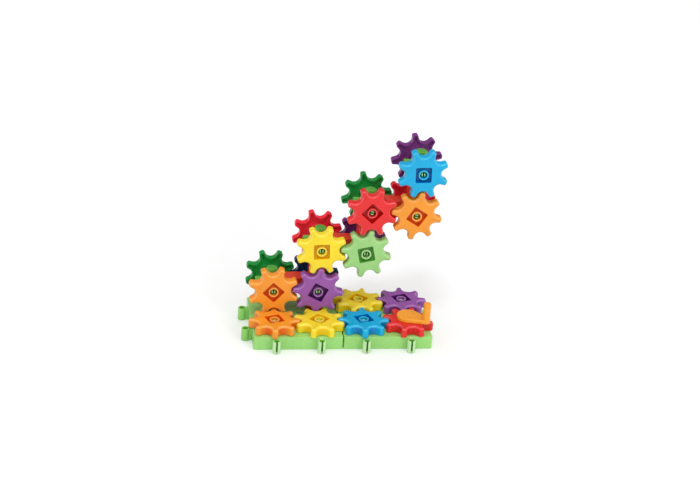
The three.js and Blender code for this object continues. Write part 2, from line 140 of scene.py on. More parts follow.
class PostSizes(bpy.types.PropertyGroup):
    """Sizes of pegs, collars and split posts, with heights from the axle's middle."""

    collar_radius: length("Collar radius", 6.4, "Radius of the round collar")
    collar_end: length("Collar end", 17.7, "Height of the collar's end")
    collar_edge: length("Collar edge", 0.35, "Rounding of a collar's end")
    peg_end: length("Peg end", 18.4, "Height of the end of a pillar's peg")
    peg_edge: length("Peg edge", 1.3, "Rounding of a peg's end")
    radius: length("Post radius", 3.0, "Radius of the split post")
    barb_radius: length("Barb radius", 3.35, "Radius of the snap barb")
    tip_radius: length("Tip radius", 2.0, "Radius of the post's flat end")
    barb_height: length("Barb height", 1.6, "Height of the sloping barb")
    end: length("Post end", 26.2, "Height of the post's end")
    slot: length("Slot", 1.6, "Width of the slot between the two halves")
    # The tones paint light: painted shade on a peg's end and down a post's sides, and a painted highlight on a
    # post's end
    peg_tone: tone("Peg tone", 0.5, "How deep a peg's end looks")
    end_tone: tone("End tone", -1.0, "How pale a post's end looks")
    side_tone: tone("Side tone", 1.0, "How deep a post's sides look")


class TowerSizes(bpy.types.PropertyGroup):
    """Sizes of the six-way axles' cubes and of the square pillars."""

    cube_half: length("Cube half side", 8.9, "Half the side of an axle's cube")
    cube_round: length("Cube rounding", 1.3, "Radius of the cube's edges")
    pillar_half: length("Pillar half side", 8.75, "Half the side of a pillar")
    pillar_round: length("Pillar rounding", 1.4, "Radius of the pillar's long edges")
    pillar_bore: length("Pillar bore", 7.1, "Half the side of the hole along a pillar")
    pillar_half_length: length("Pillar half length", 15.65, "Half the length of a pillar")
    lip: length("Lip", 0.45, "Rounding of edges at the pillar's ends")


class PlateSizes(bpy.types.PropertyGroup):
    """Sizes of the square base plates, their knobs and their sockets."""

    half: length("Half side", 49.55, "Half the side of a plate")
    corner: length("Corner", 1.8, "Radius of the plate's upright corners")
    height: length("Height", 14.98, "Height of a plate")
    edge: length("Edge", 0.8, "Rounding of the plate's upper edges")
    skin: length("Skin", 2.2, "Thickness of the plate's top")
    wall: length("Wall", 2.2, "Thickness of the plate's sides")
    well_half: length("Well half side", 9.4, "Half the side of the well round a post")
    well_floor: length("Well floor", 6.0, "Height of the well's floor")
    well_wall: length("Well wall", 1.8, "Thickness of the wall round a well")
    knob_radius: length("Knob radius", 4.45, "Radius of a linking knob")
    knob_bore: length("Knob bore", 2.4, "Radius of the hole down a knob")
    knob_neck: length("Knob neck", 2.25, "Half the width of a knob's neck")
    knob_slit: length("Knob slit", 1.1, "Half the width of the slit in a knob")
    knob_middle: length("Knob middle", 6.75, "From the middle of the joint to the knob's axis")
    knob_root: length("Knob root", 1.6, "From the middle of the joint back to the neck's root")
    knob_height: length("Knob height", 14.45, "Height of a linking knob")
    # The tones paint light: a painted highlight on the knobs in front and painted shade on the knobs on the left
    front_tone: tone("Front tone", -0.9, "How pale a knob in front looks")
    left_tone: tone("Left tone", 0.25, "How deep a knob on the left looks")
    joint_gap: length("Joint gap", 0.9, "Gap between two plates side by side")
    post_half: length("Post half pitch", 25.0, "From the plate's middle to its rows of posts")
    socket_play: length("Socket play", 0.45, "Room round a knob in its socket")
    socket_wall: length("Socket wall", 1.75, "Thickness of the wall round a socket")
    post_base: length("Post base", -3.0, "Height that a post's lengths are measured from", -15.0)


class CrankSizes(bpy.types.PropertyGroup):
    """Sizes of the crank, measured from the middle of the axle below it."""

    hub_radius: length("Hub radius", 12.85, "Radius of the arm's wide end")
    tip_radius: length("Tip radius", 4.75, "Radius of the arm's narrow end")
    reach: length("Reach", 21.8, "From the gear's axis to the handle's axis")
    low: length("Underside", 29.07, "Height of the arm's underside")
    high: length("Top", 33.43, "Height of the arm's top")
    edge: length("Edge", 1.1, "Rounding of the arm's upper edge")
    handle_radius: length("Handle radius", 4.4, "Radius of the handle at its foot")
    handle_top: length("Handle top", 53.2, "Height of the handle's top")
    handle_taper: length("Handle taper", 0.25, "Radius that the handle loses on its way up")
    handle_round: length("Handle rounding", 1.2, "Rounding of the handle's top edge")
    plug_half: length("Plug half side", 8.5, "Half the side of the square plug")
    plug_low: length("Plug end", 22.6, "Height of the plug's lower end")
    plug_bore: length("Plug bore", 6.0, "Radius of the hole in the plug")
    turn: angle("Turn", -33.0, "Direction of the arm from X, seen from above")


class ToyColours(bpy.types.PropertyGroup):
    """Colours of the moulded plastic, one for each finish of the toy."""

    plate_green: tint("Plate green", 160, 222, 124, "Base plates")
    axle_green: tint("Axle green", 112, 186, 76, "Six-way axles")
    pillar_red: tint("Pillar red", 242, 70, 44, "Square pillars")
    crank_orange: tint("Crank orange", 255, 168, 46, "Hand crank")
    gear_orange: tint("Orange", 250, 156, 44, "Orange gears")
    gear_yellow: tint("Yellow", 255, 226, 40, "Yellow gears")
    gear_blue: tint("Blue", 0, 176, 228, "Light blue gears")
    gear_red: tint("Red", 236, 42, 44, "Red gears in front")
    gear_purple: tint("Purple", 154, 86, 170, "Purple gears in front")
    gear_light_green: tint("Light green", 160, 216, 130, "Light green gear")
    gear_dark_green: tint("Dark green", 22, 150, 62, "Dark green gears behind")
    gear_blue_dark: tint("Navy", 28, 60, 108, "Navy gear behind")
    gear_dark_red: tint("Dark red", 250, 36, 60, "Dark red gears behind")
    gear_dark_purple: tint("Dark purple", 122, 48, 128, "Dark purple gears behind")


class FinishSettings(bpy.types.PropertyGroup):
    """How the moulded plastic is finished."""

    roughness: fraction("Roughness", 0.2, "Roughness of clean plastic")
    scuffing: fraction("Scuffing", 0.14, "Roughness that handling adds")
    gloss: fraction("Gloss", 0.5, "Strength of the plastic's reflections")
    mottle: fraction("Mottle", 0.06, "Change of colour from uneven flow")
    grain: fraction("Grain", 0.12, "Strength of the mould's fine grain")
    # Painted shade for recesses, valleys, pegs, posts and slits, and a painted highlight for edges, rings, post
    # ends and knobs
    dimming: fraction("Dimming", 0.95, "Share of light that comes out of a square recess")
    paling: fraction("Paling", 0.4, "How much paler thin plastic looks")
    deepening: number("Deepening", 1.9, "How much deeper a square recess looks")
    refraction: number("Refraction", 1.46, "How strongly the plastic bends light")


class StudioSettings(bpy.types.PropertyGroup):
    """The camera, the ground and the light round the toy, as the studio view has them."""

    camera_place: bpy.props.FloatVectorProperty(
        name="Camera place", description="Where the camera stands, from the middle of the joint",
        default=(-0.28175, -1.82045, 0.9577), unit="LENGTH"
    )
    camera_yaw: angle("Camera yaw", 9.047, "How far the camera looks to the right of Y")
    camera_pitch: angle("Camera pitch", 25.0, "How far the camera looks down")
    camera_roll: angle("Camera roll", 3.899, "How far the camera is tilted")
    camera_lens: number("Lens", 94.27, "Focal length of the lens, in millimetres")
    surround: fraction("Surround", 0.88, "Strength of the light from all round")
    reflected: fraction("Reflected surround", 0.15, "Strength of the surround in reflections")
    ground_white: fraction("Ground white", 0.8, "How white the ground is")
    ground_lift: fraction("Ground lift", 0.17, "Light that the ground adds for the camera")
    ground_roughness: fraction("Ground roughness", 0.9, "Roughness of the ground")
    ground_gloss: fraction("Ground gloss", 0.1, "Strength of the ground's reflections")


GROUPS = {
    "gear_toy_gear": GearSizes,
    "gear_toy_post": PostSizes,
    "gear_toy_tower": TowerSizes,
    "gear_toy_plate": PlateSizes,
    "gear_toy_crank": CrankSizes,
    "gear_toy_colours": ToyColours,
    "gear_toy_finish": FinishSettings,
    "gear_toy_studio": StudioSettings,
}

SQUARE_CORNER = math.radians(67.5)  # where a gear's recess has a corner, from a tooth
LEVEL_SLOTS = ("c3_l3", "c4_l3")  # the axles whose posts have level slots
NEAR = 0.1 * MM  # points of a solid that differ by less are level
# The tones that points keep are painted light: below zero a painted highlight, above zero painted shade
TONE = "tone"  # the name of the meshes' tones
ROUND_STEPS = 48  # steps round a whole circle
SOFT_MIDDLE = 0.3  # how far in the middle of a rounded edge lies, as a share of its radius
SHARP_TURN = math.radians(50)  # faces that meet at more than this keep a crisp edge

# Noise in the plastic: scale, detail and roughness, and the part of its range that shows
FLOW = (26, 3, 0.5), (0.3, 0.7)
RUBBING = (150, 6, 0.65), (0.56, 0.76)
SCUFFS = (70, 5, 0.62), (0.35, 0.75)
MOST_RUBBED = 0.5  # share of the pale colour where the plastic is rubbed most

# Places of a mix node's colours among its inputs, and of their mix among its outputs
MIX_COLOURS, MIX_RESULT = (6, 7), 2

# Unevenness of the surface: scale, detail and roughness of its noise, and its height
UNEVENNESS = (((60, 1, 0.5), 0.6 * MM), ((900, 2, 0.5), 0.1 * MM))

# The soft lamps: where each stands, the length of its side and its power in watts
LAMPS = {
    "main_lamp": ((3.5, -5.5, 3.75), 1.7, 80),
    "upper_lamp": ((-0.8, -2.5, 5.5), 1.2, 75),
}
LAMP_TARGET = Vector((0, 0, 0.08))
VIEW_DEPTH = 20  # how far the camera sees
GROUND_HALF = 6  # half the side of the ground
GROUND_DROP = 0.05 * MM  # how far below the toy the ground lies


# Places in the frame


def joint_of(body):
    """The joint that turns a body."""
    return next(joint for joint in frame["joints"] if joint["child"] == body)


def body_of(node):
    """The name of the body that a node rides on."""
    bodies = frame["record"]["behaviour"]["bodies"]
    return next(body for body, nodes in bodies.items() if node in nodes)


def slot_of(node):
    """The name of a node's material slot."""
    return next(row["material_slot"] for row in frame["record"]["subparts"] if row["node"] == node)


def nodes_with(words):
    """The frame's nodes with some words in their names, in order."""
    return sorted(name for name in frame["nodes"] if words in name)


def middle_of(node):
    """The middle of a node's box."""
    low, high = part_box(node)
    return (low + high) / 2


def axis_place(node):
    """The place of the joint that a gear turns on."""
    return Vector(joint_of(body_of(node))["pos_m"])


def points_from(node, place):
    """The points of a node's solid, measured from a place."""
    return [vertex.co - place for vertex in frame["nodes"][node].data.vertices]


def axes_matrix(side, outward, place):
    """A placement whose X points to the side, whose Z points outward, at a place."""
    cross = outward.cross(side)
    return Matrix.Translation(place) @ Matrix((side, cross, outward)).transposed().to_4x4()


def gear_placement(node):
    """Where a gear stands: its axle's middle, its outward side and its turn.

    The corners of the square recess are the points of the solid's face nearest the axis,
    and they point to the gaps between the teeth.
    """
    place = axis_place(node)
    outward = Vector(joint_of(body_of(node))["axis"])
    if (middle_of(node) - place).dot(outward) < 0:
        outward.negate()
    offsets = points_from(node, place)
    face = max(offset.dot(outward) for offset in offsets)
    rims = [o - outward * o.dot(outward) for o in offsets if o.dot(outward) > face - NEAR]
    corner = min(rims, key=lambda rim: rim.length).normalized()
    to_tooth = Matrix.Rotation(-SQUARE_CORNER, 3, outward)
    return axes_matrix(to_tooth @ corner, outward, place)


def axle_placement(node):
    """Where an axle stands, with the lean that its solid's farthest points show.

    Those points come round every quarter turn, so four times their angles agree.
    """
    place = middle_of(node)
    flat = [Vector((offset.x, offset.z)) for offset in points_from(node, place)]
    reach = max(offset.length for offset in flat)
    far = [4 * math.atan2(o.x, o.y) for o in flat if o.length > reach - NEAR]
    lean = math.atan2(sum(math.sin(turn) for turn in far), sum(math.cos(turn) for turn in far)) / 4
    return Matrix.Translation(place) @ Matrix.Rotation(lean, 4, "Y")


def pillar_placement(node):
    """Where a pillar stands: upright on a plate, or along the line between its two axles."""
    ends = node.split("_pillar_")[-1].split("_to_")
    along = Vector((0, 0, 1))
    if len(ends) == 2:
        lower, upper = (middle_of(f"six_way_axle_{end}") for end in ends)
        along = (upper - lower).normalized()
    return axes_matrix(Vector((0, 1, 0)), along, middle_of(node))


def ground_between(left, right):
    """The point on the ground halfway between two front flat gears and the row behind."""
    left, right = (axis_place(f"flat_gear_{colour}") for colour in (left, right))
    row_behind = axis_place("front_gear_orange").y
    return Vector(((left.x + right.x) / 2, (left.y + row_behind) / 2, 0.0))


def plate_placement(node):
    """Where a plate stands: on the ground, halfway between its posts."""
    pair = ("orange", "yellow") if node.startswith("left") else ("blue", "red")
    return Matrix.Translation(ground_between(*pair))


# Outlines and lofts


def polar(radius, turn):
    """A point in the plane at a radius and an angle."""
    return Vector((radius * math.cos(turn), radius * math.sin(turn)))


def spread(start, end, count):
    """Evenly spaced values from start to end, with the end, count steps."""
    return [start + (end - start) * step / count for step in range(count + 1)]


def arc(centre, radius, start, end, count):
    """Points along an arc, in degrees, from start to end."""
    return [
        Vector(centre) + polar(radius, math.radians(turn)) for turn in spread(start, end, count)
    ]


def circle(radius, place=(0, 0)):
    """Points round a circle."""
    return arc(place, radius, 0, 360 - 360 / ROUND_STEPS, ROUND_STEPS - 1)


def bend(start, corner, end, count=3):
    """Points of a soft curve from start to end, drawn towards a corner."""
    start, corner, end = Vector(start), Vector(corner), Vector(end)
    return [
        start.lerp(corner, share).lerp(corner.lerp(end, share), share)
        for share in spread(0, 1, count)
    ]


def tooth_outline(gear):
    """The gear's outline as pairs of a point and its outward direction.

    Each tooth has round corners and leaning flanks, and a round valley joins it to the next.
    """
    steps = 6
    half_step = math.pi / gear.teeth
    corner = Vector((gear.tip_radius, gear.tooth_width / 2)) - Vector((1, 1)) * gear.tooth_round
    flank_side = Vector((math.sin(gear.flank_lean), math.cos(gear.flank_lean)))
    flank_turn = math.pi / 2 - gear.flank_lean
    flank_top = corner + gear.tooth_round * flank_side
    gap = polar(1, half_step)
    meet, reach = gap.dot(flank_side), flank_top.dot(flank_side)
    valley_round = (gear.root_radius * meet - reach) / (1 - meet)
    valley_centre = gap * (gear.root_radius + valley_round)
    flank_foot = valley_centre - valley_round * flank_side

    half = [
        (corner + polar(gear.tooth_round, turn), polar(1, turn))
        for turn in spread(0, flank_turn, steps)
    ]
    half.append((flank_top.lerp(flank_foot, 0.5), flank_side))
    half += [
        (valley_centre - polar(valley_round, turn), polar(1, turn))
        for turn in spread(flank_turn, half_step, steps)
    ]
    flip = Matrix.Diagonal((1, -1))
    tooth = [(flip @ point, flip @ side) for point, side in reversed(half)] + half[:-1]
    turns = [Matrix.Rotation(2 * half_step * count, 2) for count in range(gear.teeth)]
    return [(turn @ point, turn @ side) for turn in turns for point, side in tooth]


def rounded_square_radius(turn, half, corner):
    """How far a rounded square reaches in a direction, measured from a side's middle."""
    quarter = math.pi / 2
    lean = abs((turn + quarter / 2) % quarter - quarter / 2)
    if half * math.tan(lean) <= half - corner:
        return half / math.cos(lean)
    centre = Vector((half - corner, half - corner))
    along = polar(1, lean).dot(centre)
    return along + math.sqrt(along**2 - centre.length_squared + corner**2)


def square_loop(half, corner, count=4):
    """A rounded square as a closed outline, counter-clockwise."""
    middle = half - corner
    points = []
    for number, (x, y) in enumerate(((1, 1), (-1, 1), (-1, -1), (1, -1))):
        points += arc((x * middle, y * middle), corner, 90 * number, 90 * number + 90, count)
    return points


def inset(points, amount):
    """The points of a closed outline, moved in to the left of its direction."""
    moved = []
    sharpest = 0.5  # holds back the points of very sharp corners
    for before, here, after in zip(points[-1:] + points[:-1], points, points[1:] + points[:1]):
        ways = (here - before).normalized(), (after - here).normalized()
        first, second = (Vector((-way.y, way.x)) for way in ways)
        middle = (first + second).normalized()
        moved.append(here + middle * (amount / max(middle.dot(first), sharpest)))
    return moved


def raised(points, height):
    """The points of an outline, lifted to a height."""
    return [Vector((point.x, point.y, height)) for point in points]


def rounding(steps):
    """Steps of a rounded edge of radius 1: how far along one side, and left on the other."""
    turns = spread(0, math.pi / 2, steps)
    return [(1 - math.cos(turn), 1 - math.sin(turn)) for turn in turns]


def softened_wall(points, low, high, low_edge, high_edge, steps=3):
    """Loops that climb an outline from low to high, with both edges rounded.

    An edge size below zero rounds the edge of a hole, which widens to its end.
    """
    soft = rounding(steps)
    rows = [(low_edge * left, low + abs(low_edge) * along) for along, left in soft]
    rows += [(high_edge * along, high - abs(high_edge) * left) for along, left in soft]
    return [raised(inset(points, into), height) for into, height in rows]


def rounded_end(radius, end, soft, count):
    """Rows of a radius and a height that round the end of a peg or handle."""
    return [(radius - soft * along, end - soft * left) for along, left in rounding(count)]


# Building meshes


def new_mesh():
    """An empty mesh that keeps a tone of painted light at each of its points."""
    mesh = bmesh.new()
    mesh.verts.layers.float.new(TONE)
    return mesh


def add_part(mesh, part, move):
    """Adds a moved part to a mesh, and frees the part."""
    part.transform(move)
    data = bpy.data.meshes.new("part")
    part.to_mesh(data)
    part.free()
    mesh.from_mesh(data)
    bpy.data.meshes.remove(data)


def loft(mesh, loops, closed=False):
    """Joins each loop of points to the next with faces, and the last to the first if closed."""
    rings = [[mesh.verts.new(point) for point in loop] for loop in loops]
    followers = rings[1:] + rings[:1] if closed else rings[1:]
    for ring, follower in zip(rings, followers):
        for here in range(len(ring)):
            there = (here + 1) % len(ring)
            mesh.faces.new((ring[here], ring[there], follower[there], follower[here]))
    return rings


def fill(mesh, *rings):
    """Fills the flat area inside the first loop and outside the others."""
    edges = [mesh.edges.get(pair) for ring in rings for pair in zip(ring, ring[1:] + ring[:1])]
    bmesh.ops.triangle_fill(mesh, edges=edges, use_beauty=True)


def solid(loops):
    """A mesh lofted through loops of points, with both ends filled, and its loops."""
    mesh = new_mesh()
    rings = loft(mesh, loops)
    fill(mesh, rings[0])
    fill(mesh, rings[-1])
    return mesh, rings


def paint(mesh, rings, value):
    """Gives every point of some loops the same tone."""
    layer = mesh.verts.layers.float[TONE]
    for ring in rings:
        for vertex in ring:
            vertex[layer] = value


# Split posts


def half_post_loop(post, side, radius, height):
    """One half of a split post's section, as a closed loop."""
    edge = math.degrees(math.asin(post.slot / 2 / radius))
    points = arc((0, 0), radius, edge, 180 - edge, 12)
    return raised([point * side for point in points], height)


def add_split_post(mesh, post, collar_ring):
    """Fills a collar's end and stands the two halves of a split snap post on it."""
    foot = post.collar_end
    barb = post.end - post.barb_height
    chamfer = 0.3 * MM
    sections = [
        (foot, post.radius),
        (barb - chamfer, post.radius),
        (barb, post.barb_radius),
        (barb + chamfer, post.barb_radius),
        (post.end - chamfer, post.tip_radius + chamfer),
        (post.end, post.tip_radius),
    ]
    feet = []
    for side in (1, -1):
        rings = loft(mesh, [half_post_loop(post, side, radius, z) for z, radius in sections])
        mesh.faces.new(rings[-1])
        # Painted shade down the post's sides, and a painted highlight on its end
        paint(mesh, rings, post.side_tone)
        paint(mesh, rings[-1:], post.end_tone)
        feet.append(rings[0])
    fill(mesh, collar_ring, *feet)


def collar_loops(post, low, end, soft):
    """Loops up a round collar or peg, from a fillet at its foot to its rounded end."""
    fillet = 0.5 * MM
    radius = post.collar_radius
    rows = [(radius + fillet * left, low + fillet * along) for along, left in rounding(3)]
    rows += rounded_end(radius, end, soft, 4)
    return [raised(circle(radius), height) for radius, height in rows]


# Meshes of the pieces


def gear_mesh(gear, valley_tone):
    """One gear as a single closed skin: teeth, face, recess, hub ring and hollow back.

    Painted shade darkens the wall between two teeth, to valley_tone at its deepest.
    """
    outline = tooth_outline(gear)
    turns = [math.atan2(point.y, point.x) for point, _ in outline]
    from_side = SQUARE_CORNER - math.pi / 4

    def teeth(into, height):
        return raised([point - side * into for point, side in outline], height)

    def square(half, corner, height):
        reach = [rounded_square_radius(turn - from_side, half, corner) for turn in turns]
        return raised([polar(r, turn) for r, turn in zip(reach, turns)], height)

    def ring(radius, height):
        return raised([polar(radius, turn) for turn in turns], height)

    back, face, half = gear.seat, gear.face, gear.recess_half
    corner, floor, top = gear.recess_round, gear.recess_floor, gear.ring_top
    soft = 0.4 * MM
    part = SOFT_MIDDLE * soft

    # The toothed wall, and the sloping edge with a bend to the wall and one to the face
    wall = [teeth(soft, back), teeth(part, back + part), teeth(0, back + soft)]
    lower, upper = Vector((0, face - gear.edge_depth)), Vector((gear.edge_inset, face))
    bend_reach, bend_ends = 0.9 * MM, (0.4, 0.6)
    bends = [lower.lerp(upper, share) for share in bend_ends]
    slope = bend((0, lower.y - bend_reach), lower, bends[0])
    slope += bend(bends[1], upper, (gear.edge_inset + bend_reach, face))
    edge = [teeth(into, height) for into, height in slope]

    recess = [square(*row) for row in (
        (half + soft, corner + soft, face), (half + part, corner, face - part),
        (half, corner, face - soft), (half, corner, floor + soft),
        (half - part, corner, floor + part), (half - soft, corner, floor),
    )]

    # The hub ring, and down through the bore to the back of the hub
    outer, mouth, bore, step = gear.ring_radius, gear.ring_bore, gear.bore_radius, gear.bore_step
    hub = [ring(*row) for row in (
        (outer + soft, floor), (outer, floor + soft), (outer, top - soft),
        (outer - part, top - part), (outer - soft, top), (mouth + soft, top),
        (mouth + part, top - part), (mouth, top - soft), (mouth, step), (bore, step),
        (bore, back + soft), (bore + soft, back), (outer - soft, back), (outer, back + soft),
    )]

    # Behind the recess: its floor, the square boss and the hollow, whose rounding under the
    # wall is given as millimetres in and down
    shelf = floor - gear.wall
    outside = half + gear.boss_wall
    inside = outside - 1.8 * MM
    boss_end = back + 1.2 * MM
    boss_round = corner + gear.boss_wall
    ceiling = back + gear.hollow
    hollow_round = ((1.3, 0), (0.5, 0.3), (0.2, 1.1))
    behind = [ring(outer, shelf - soft), ring(outer + soft, shelf)]
    behind += [square(*row) for row in (
        (inside - soft, corner, shelf), (inside, corner, shelf - soft),
        (inside, corner, boss_end + soft), (inside + soft, corner, boss_end),
        (outside - soft, boss_round, boss_end), (outside, boss_round, boss_end + soft),
        (outside, boss_round, ceiling - soft), (outside + soft, boss_round, ceiling),
    )]
    behind += [teeth(gear.wall + into * MM, ceiling - down * MM) for into, down in hollow_round]
    behind += [teeth(gear.wall, back + soft), teeth(gear.wall - soft, back)]

    mesh = new_mesh()
    rings = loft(mesh, wall + edge + recess + hub + behind, closed=True)

    # Painted light: a painted highlight on the edge's middle and the ring's top, and painted shade on the recess's
    # sides and floor and down into the valleys of the wall
    rest = iter(rings)
    wall, edge, recess, hub = ([next(rest) for _ in rows] for rows in (wall, edge, recess, hub))
    paint(mesh, edge[3:6], gear.edge_tone)
    paint(mesh, recess[2:] + hub[:1], 1.0)
    paint(mesh, hub[2:7], gear.ring_tone)
    layer = mesh.verts.layers.float[TONE]
    for vertex in [vertex for loop in wall + edge[:2] for vertex in loop]:
        depth = (gear.tip_radius - vertex.co.xy.length) / (gear.tip_radius - gear.root_radius)
        vertex[layer] = valley_tone * min(1.0, max(0.0, depth)) ** 2
    return mesh


def cube_side_loops(tower):
    """Loops over the rounded edge of one side of a cube, from an eighth of a turn on."""
    half, flat = tower.cube_half, tower.cube_half - tower.cube_round
    loops = []
    for width in spread(half, flat, 3):
        loop = []
        for turn in spread(math.pi / 4, 2 * math.pi + math.pi / 4, ROUND_STEPS)[:-1]:
            way = polar(1, turn)
            edge = way * (width / max(abs(way.x), abs(way.y)))
            start = Vector((edge.x, edge.y, half))
            held = Vector([max(-flat, min(flat, value)) for value in start])
            loop.append(held + (start - held).normalized() * tower.cube_round)
        loops.append(loop)
    return loops


def axle_mesh(tower, post, level_slots):
    """A six-way axle: a rounded cube with a split post in front and behind, and four pegs."""
    weld = 0.01 * MM
    eighth = ROUND_STEPS // 8
    x, y, z = Matrix.Identity(3)
    slot_way = x if level_slots else z
    mesh = new_mesh()
    for outward, across in ((z, x), (-z, x), (y, slot_way), (-y, slot_way), (x, z), (-x, z)):
        side = new_mesh()
        loops = cube_side_loops(tower)
        ending = (post.peg_end, post.peg_edge)
        if outward.y:
            ending = (post.collar_end, post.collar_edge)
        for loop in collar_loops(post, tower.cube_half, *ending):
            loops.append(loop[eighth:] + loop[:eighth])
        rings = loft(side, loops)
        if outward.y:
            add_split_post(side, post, rings[-1])
        else:
            side.faces.new(rings[-1])
            # Painted shade on the peg's end
            paint(side, rings[-2:], post.peg_tone)
        add_part(mesh, side, axes_matrix(across, outward, Vector()))
    bmesh.ops.remove_doubles(mesh, verts=mesh.verts, dist=weld)
    return mesh


def pillar_mesh(tower):
    """A square tube with rounded long edges and softened ends."""
    end, lip, bore_round = tower.pillar_half_length, tower.lip, 0.8 * MM
    outer = square_loop(tower.pillar_half, tower.pillar_round)
    inner = square_loop(tower.pillar_bore, bore_round)
    outside = softened_wall(outer, -end, end, lip, lip)
    inside = softened_wall(inner, -end, end, -lip, -lip)
    mesh = new_mesh()
    loft(mesh, outside + inside[::-1], closed=True)
    return mesh


def knob_mesh(plate, wall_painted_light):
    """A hollow, split knob that stands out along X from the middle of the joint."""
    low, low_edge, high_edge = 0.05 * MM, 0.15 * MM, 0.45 * MM
    middle, slit, neck = (plate.knob_middle, 0), plate.knob_slit, plate.knob_neck
    out, bore, root = plate.knob_radius, plate.knob_bore, -plate.knob_root
    neck_turn, slit_turn, bore_turn = (
        math.degrees(math.asin(share)) for share in (neck / out, slit / out, slit / bore)
    )
    lower = arc(middle, out, neck_turn - 180, -slit_turn, 10)
    inside = arc(middle, bore, -bore_turn, bore_turn - 360, 14)
    upper = arc(middle, out, slit_turn, 180 - neck_turn, 10)
    outline = [Vector((root, -neck)), *lower, *inside, *upper, Vector((root, neck))]
    mesh, rings = solid(softened_wall(outline, low, plate.knob_height, low_edge, high_edge))
    first = 1 + len(lower)
    # Painted light on the knob's walls, and painted shade down its bore and slit
    paint(mesh, rings, wall_painted_light)
    paint(mesh, [ring[first:first + len(inside)] for ring in rings], 1.0)
    return mesh


def plate_outline(plate, into):
    """The plate's outline with its keyhole sockets, or the inside of a wall that thick.

    The outline starts at the front right corner and runs counter-clockwise.
    """
    half = plate.half - into
    corner = max(plate.corner - into, 0.6 * MM)
    centre = plate.half + plate.joint_gap / 2 - plate.knob_middle
    radius = plate.knob_radius + plate.socket_play + (plate.socket_wall if into else 0)
    mouth = plate.knob_neck + plate.socket_play
    if into:
        mouth_turn = math.degrees(math.acos(min(1, (half - centre) / radius)))
    else:
        mouth_turn = math.degrees(math.asin(mouth / radius))
    points = []
    for number in range(4):
        side = arc((half - corner, corner - half), corner, -90, 0, 4)
        if number < 2:
            for post in (-plate.post_half, plate.post_half):
                keyhole = arc((centre, post), radius, mouth_turn - 360, -mouth_turn, 18)[::-1]
                if not into:
                    keyhole = [Vector((half, post - mouth)), *keyhole, Vector((half, post + mouth))]
                side += keyhole
        turning = Matrix.Rotation(number * math.pi / 2, 2)
        points += [turning @ point for point in side]
    return points


def stud_mesh(plate, post):
    """A collar with a split post, as it stands in a plate's well."""
    sunk = Vector((0, 0, 0.6 * MM))  # how far the collar runs into the well's floor
    mesh = new_mesh()
    foot = plate.well_floor - plate.post_base
    loops = collar_loops(post, foot, post.collar_end, post.collar_edge)
    rings = loft(mesh, [[point - sunk for point in loops[0]], *loops])
    mesh.faces.new(rings[0][::-1])
    add_split_post(mesh, post, rings[-1])
    mesh.transform(Matrix.Translation((0, 0, plate.post_base)))
    return mesh


def plate_mesh(plate, post):
    """A base plate with knobs, keyhole sockets, wells and posts, open underneath."""
    rim_low, rim_edge, inner_edge = 0.02 * MM, 0.3 * MM, 0.6 * MM
    well_round, well_edge = 1.2 * MM, 0.5 * MM
    cup_round, cup_edge = 2.2 * MM, 0.4 * MM
    top, shelf = plate.height, plate.height - plate.skin
    posts = [Vector((x, y)) * plate.post_half for x in (-1, 1) for y in (-1, 1)]
    mesh = new_mesh()

    outline, cavity = plate_outline(plate, 0), plate_outline(plate, plate.wall)
    outside = loft(mesh, softened_wall(outline, rim_low, top, rim_edge, plate.edge, 4))
    inside = loft(mesh, softened_wall(cavity, rim_low, shelf, -rim_edge, inner_edge))
    fill(mesh, outside[0], inside[0])

    # Each well hangs from the top as a cup in the room below
    well = square_loop(plate.well_half, well_round)
    cup = square_loop(plate.well_half + plate.well_wall, cup_round)
    cup_low = plate.well_floor - plate.well_wall
    wells, cups = [], []
    for place in posts:
        for shape, low, high, mouth_edge, mouths in (
            (well, plate.well_floor, top, well_edge, wells), (cup, cup_low, shelf, cup_edge, cups)
        ):
            moved = [point + place for point in shape]
            rings = loft(mesh, softened_wall(moved, low, high, inner_edge, -mouth_edge)[::-1])
            fill(mesh, rings[-1])
            mouths.append(rings[0])
    fill(mesh, outside[-1], *wells)
    fill(mesh, inside[-1], *cups)

    for place in posts:
        add_part(mesh, stud_mesh(plate, post), Matrix.Translation(place.to_3d()))
    # The knobs on the left get painted shade, those in front a painted highlight
    for turn, wall_painted_light in ((180, plate.left_tone), (-90, plate.front_tone)):
        for end in (-1, 1):
            knob_place = Vector((plate.half + plate.joint_gap / 2, end * plate.post_half, 0))
            move = Matrix.Rotation(math.radians(turn), 4, "Z") @ Matrix.Translation(knob_place)
            add_part(mesh, knob_mesh(plate, wall_painted_light), move)
    return mesh


def handle_mesh(crank):
    """The upright handle, with a fillet at its foot, which runs into the arm."""
    # The fillet, as millimetres out of the handle and up from the arm's top
    foot_round = ((0.5, -0.3), (0.5, 0), (0.15, 0.2), (0, 0.6))
    cap_inset = 0.6 * MM
    radius, top, soft = crank.handle_radius, crank.handle_top, crank.handle_round
    upper = radius - crank.handle_taper
    rows = [(radius + out * MM, crank.high + up * MM) for out, up in foot_round]
    rows += rounded_end(upper, top, soft, 5)
    rows += [(upper - soft - cap_inset, top)]
    handle = new_mesh()
    rings = loft(handle, [raised(circle(r, (crank.reach, 0)), height) for r, height in rows])
    handle.faces.new(rings[0][::-1])
    handle.faces.new(rings[-1])
    return handle


def plug_mesh(crank, soft):
    """The square plug with a round hole, which runs up into the arm."""
    corner, overlap = 1.2 * MM, 0.6 * MM
    outer = square_loop(crank.plug_half, corner, 6)
    hole = [polar(crank.plug_bore, math.atan2(point.y, point.x)) for point in outer]
    outside = softened_wall(outer, crank.plug_low, crank.low + overlap, soft, 0)
    within = softened_wall(hole, crank.plug_low, crank.low + overlap, -soft, 0)
    plug = new_mesh()
    loft(plug, outside + within[::-1], closed=True)
    return plug


